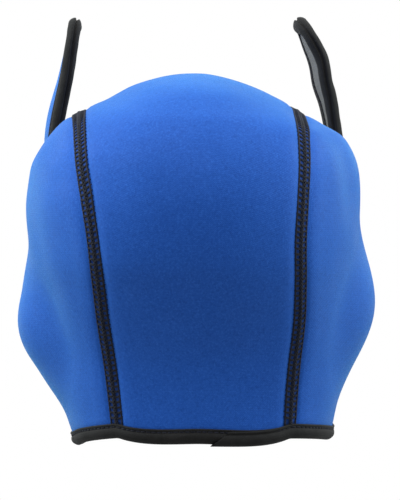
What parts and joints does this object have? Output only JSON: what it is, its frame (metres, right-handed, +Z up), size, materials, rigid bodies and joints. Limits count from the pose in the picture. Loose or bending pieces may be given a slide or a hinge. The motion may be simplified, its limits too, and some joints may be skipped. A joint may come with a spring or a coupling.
{
  "type": "neoprene hood",
  "caption": "Open-faced neoprene hood of three panels with flatlock seams, taped edges and two unfastened chin tabs turned up beside the crown.",
  "frame": {"origin": "inner top of the crown, where the wearer's head bears", "axes": "+Z up, the face opening looks along -Y, +X is the wearer's left"},
  "size_m": [0.1775, 0.198, 0.2219],
  "materials": {
    "blue_neoprene": "matte knitted nylon over neoprene foam",
    "black_tape": "matte folded binding tape"
  },
  "bodies": {
    "root": {"centre_panel": "blue_neoprene", "side_panel_left": "blue_neoprene", "side_panel_right": "blue_neoprene", "chin_tab_left": "blue_neoprene", "chin_tab_right": "blue_neoprene", "brow_binding": "black_tape", "hem_binding": "black_tape", "tab_binding_left": "black_tape", "tab_binding_right": "black_tape"}
  },
  "joints": []
}
